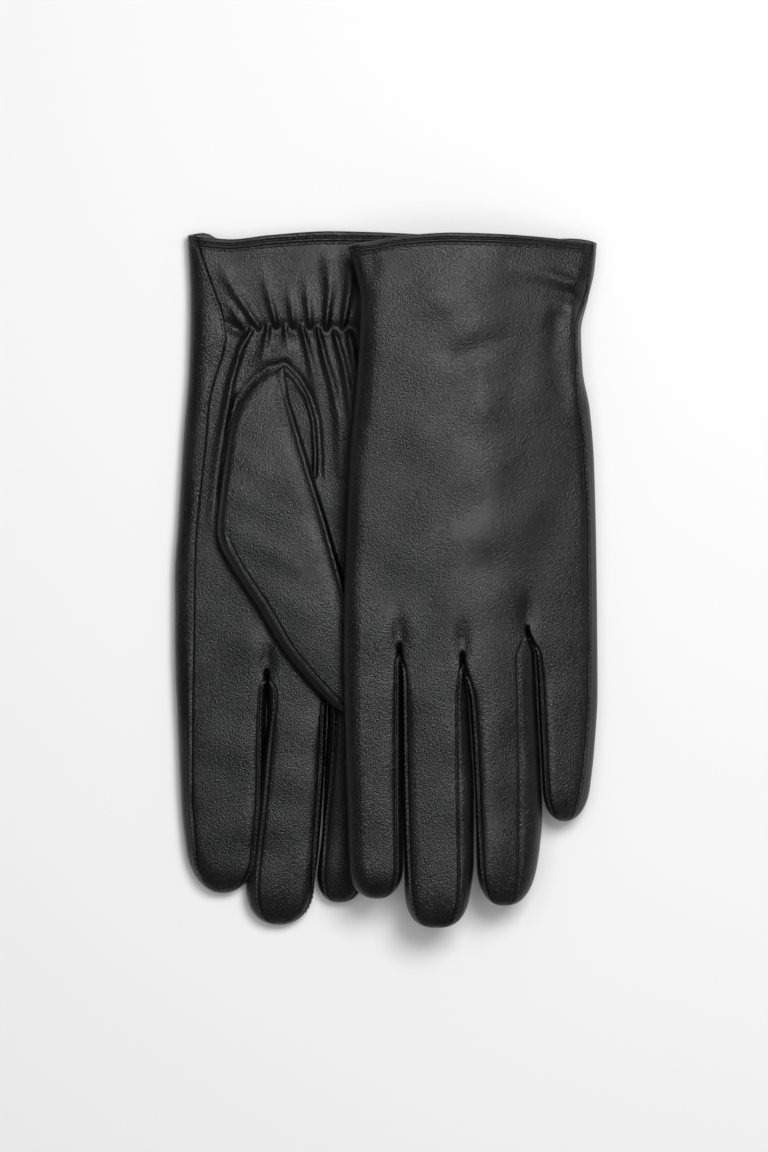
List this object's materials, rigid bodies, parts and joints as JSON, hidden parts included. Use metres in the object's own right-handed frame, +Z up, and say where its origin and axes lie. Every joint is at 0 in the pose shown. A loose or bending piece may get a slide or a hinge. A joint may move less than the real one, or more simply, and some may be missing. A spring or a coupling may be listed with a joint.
{
  "type": "leather dress gloves",
  "caption": "Pair of lined black leather dress gloves laid flat in their fold, the left one over the right, with hinged fingers and thumbs.",
  "frame": {"origin": "middle of the pair's footprint on the surface it lies on", "axes": "+Z up from the surface, +Y from the fingertips to the cuffs, +X from the right glove to the left glove"},
  "size_m": [0.1521, 0.25, 0.0272],
  "materials": {
    "leather": "soft black grained nappa with a low sheen",
    "lining": "fine black knitted lining",
    "elastic": "woven black elastic tape",
    "label": "woven satin tab with nothing on it"
  },
  "bodies": {
    "right_index_finger": {"right_index_back": "leather", "right_index_fourchette_outer": "leather", "right_index_lining": "lining", "right_index_palm": "leather"},
    "right_middle_finger": {"right_middle_back": "leather", "right_middle_fourchette_inner": "leather", "right_middle_fourchette_outer": "leather", "right_middle_lining": "lining", "right_middle_palm": "leather"},
    "right_ring_finger": {"right_ring_back": "leather", "right_ring_fourchette_inner": "leather", "right_ring_fourchette_outer": "leather", "right_ring_lining": "lining", "right_ring_palm": "leather"},
    "right_little_finger": {"right_little_back": "leather", "right_little_fourchette_inner": "leather", "right_little_lining": "lining", "right_little_palm": "leather"},
    "right_thumb_stall": {"right_thumb": "leather", "right_thumb_lining": "lining"},
    "right_hand": {"right_back_panel": "leather", "right_cuff_hem": "leather", "right_fourchette_roots": "leather", "right_hand_lining": "lining", "right_palm_panel": "leather", "right_size_label": "label", "right_wrist_elastic": "elastic"},
    "left_index_finger": {"left_index_back": "leather", "left_index_fourchette_outer": "leather", "left_index_lining": "lining", "left_index_palm": "leather"},
    "left_middle_finger": {"left_middle_back": "leather", "left_middle_fourchette_inner": "leather", "left_middle_fourchette_outer": "leather", "left_middle_lining": "lining", "left_middle_palm": "leather"},
    "left_ring_finger": {"left_ring_back": "leather", "left_ring_fourchette_inner": "leather", "left_ring_fourchette_outer": "leather", "left_ring_lining": "lining", "left_ring_palm": "leather"},
    "left_little_finger": {"left_little_back": "leather", "left_little_fourchette_inner": "leather", "left_little_lining": "lining", "left_little_palm": "leather"},
    "left_thumb_stall": {"left_thumb": "leather", "left_thumb_lining": "lining"},
    "left_hand": {"left_back_panel": "leather", "left_cuff_hem": "leather", "left_fourchette_roots": "leather", "left_hand_lining": "lining", "left_palm_panel": "leather", "left_size_label": "label", "left_wrist_elastic": "elastic"}
  },
  "joints": [
    {"name": "left_glove_lift", "type": "slide", "parent": "right_hand", "child": "left_hand", "axis": [0, 0, 1], "range_m": [0, 0.12]},
    {"name": "right_thumb_swing", "type": "hinge", "parent": "right_hand", "child": "right_thumb_stall", "pos_m": [-0.0445, 0.032, 0.0096], "axis": [0, 0, 1], "range_deg": [-75, 0]},
    {"name": "left_thumb_swing", "type": "hinge", "parent": "left_hand", "child": "left_thumb_stall", "pos_m": [0.0128, 0.032, 0.0176], "axis": [0, 0, 1], "range_deg": [-75, 0]},
    {"name": "right_index_flex", "type": "hinge", "parent": "right_hand", "child": "right_index_finger", "pos_m": [-0.0596, -0.04115, 0.0096], "axis": [-1, 0, 0], "range_deg": [0, 75]},
    {"name": "right_middle_flex", "type": "hinge", "parent": "right_hand", "child": "right_middle_finger", "pos_m": [-0.0323, -0.04915, 0.0096], "axis": [-1, 0, 0], "range_deg": [0, 75]},
    {"name": "right_ring_flex", "type": "hinge", "parent": "right_hand", "child": "right_ring_finger", "pos_m": [-0.0111, -0.05915, 0.0096], "axis": [-1, 0, 0], "range_deg": [0, 60]},
    {"name": "right_little_flex", "type": "hinge", "parent": "right_hand", "child": "right_little_finger", "pos_m": [0.0095, -0.03715, 0.0096], "axis": [-1, 0, 0], "range_deg": [0, 60]},
    {"name": "left_index_lift", "type": "hinge", "parent": "left_hand", "child": "left_index_finger", "pos_m": [-0.0049, -0.03015, 0.0272], "axis": [-1, 0, 0], "range_deg": [0, 60]},
    {"name": "left_middle_lift", "type": "hinge", "parent": "left_hand", "child": "left_middle_finger", "pos_m": [0.017, -0.03315, 0.0272], "axis": [-1, 0, 0], "range_deg": [0, 60]},
    {"name": "left_ring_lift", "type": "hinge", "parent": "left_hand", "child": "left_ring_finger", "pos_m": [0.041, -0.03315, 0.02687], "axis": [-1, 0, 0], "range_deg": [0, 45]},
    {"name": "left_little_lift", "type": "hinge", "parent": "left_hand", "child": "left_little_finger", "pos_m": [0.0648, -0.02415, 0.0198], "axis": [-1, 0, 0], "range_deg": [0, 45]}
  ],
  "couplings": [
    {"joint": "left_thumb_swing", "follows": "left_glove_lift", "rad_per_m": -10.9},
    {"joint": "right_ring_flex", "follows": "left_glove_lift", "rad_per_m": 8.72},
    {"joint": "right_little_flex", "follows": "left_glove_lift", "rad_per_m": 8.72}
  ]
}
